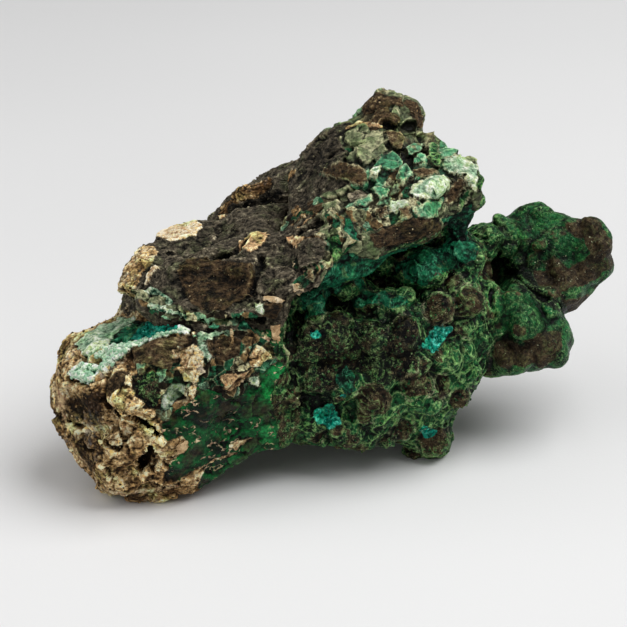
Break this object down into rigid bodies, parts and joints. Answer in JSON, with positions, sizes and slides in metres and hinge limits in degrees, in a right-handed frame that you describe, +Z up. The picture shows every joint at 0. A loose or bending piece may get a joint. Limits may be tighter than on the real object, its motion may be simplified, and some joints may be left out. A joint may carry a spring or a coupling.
{
  "type": "malachite mineral specimen",
  "caption": "Irregular malachite specimen: an ochre matrix block, a tilted dark slab lying on it, and a mass of knobbly green malachite that grows out into rounded lobes.",
  "frame": {"origin": "under the middle of the stone's box, on the surface that it rests on", "axes": "+X along the stone's longest extent, from the ochre block towards the green lobes; +Y away from the side that it is shown from; +Z up"},
  "size_m": [0.1202, 0.0664, 0.0753],
  "materials": {
    "malachite": "satin"
  },
  "bodies": {
    "root": {"malachite_specimen": "malachite"}
  },
  "joints": []
}
